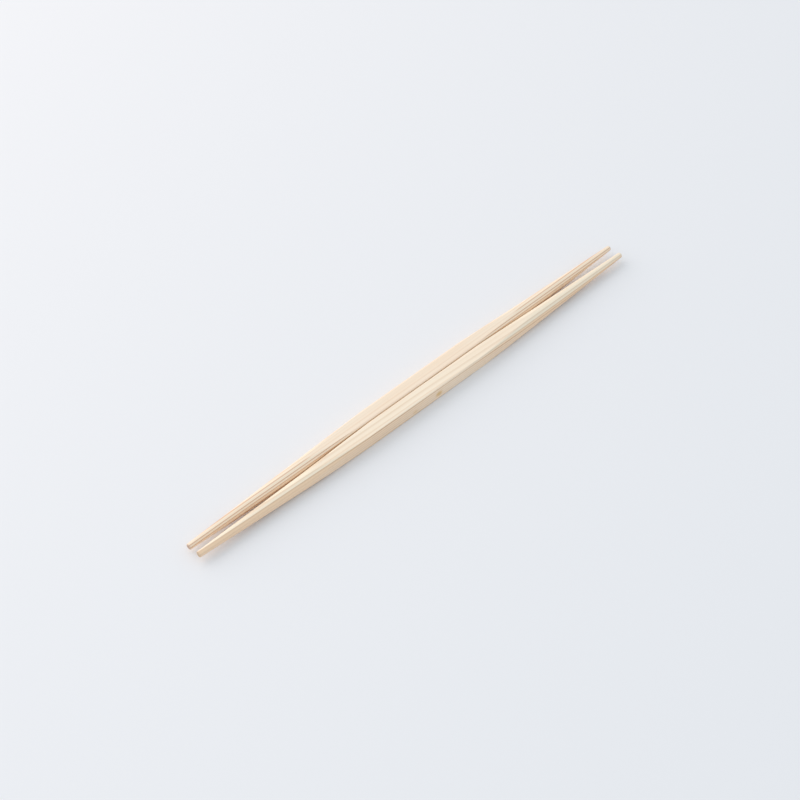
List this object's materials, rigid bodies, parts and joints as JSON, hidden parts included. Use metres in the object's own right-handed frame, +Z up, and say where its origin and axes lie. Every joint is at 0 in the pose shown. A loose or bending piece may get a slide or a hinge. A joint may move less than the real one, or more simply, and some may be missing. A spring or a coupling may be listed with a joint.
{
  "type": "pair of chopsticks",
  "caption": "Pair of cedar chopsticks lying side by side: square in the middle with broken edges, turned to a long slim cone at both ends.",
  "frame": {"origin": "on the surface the pair lies on, below the middle of the pair", "axes": "+X along the sticks, +Y across the pair from the right stick to the left one, +Z up"},
  "size_m": [0.24, 0.013, 0.0063],
  "materials": {
    "cedar_rosy": "plain sawn and turned cedar, uncoated, straight reddish grain",
    "cedar_pale": "plain sawn and turned cedar, uncoated, straight pale grain"
  },
  "bodies": {
    "root": {"left_chopstick": "cedar_rosy", "right_chopstick": "cedar_pale"}
  },
  "joints": []
}
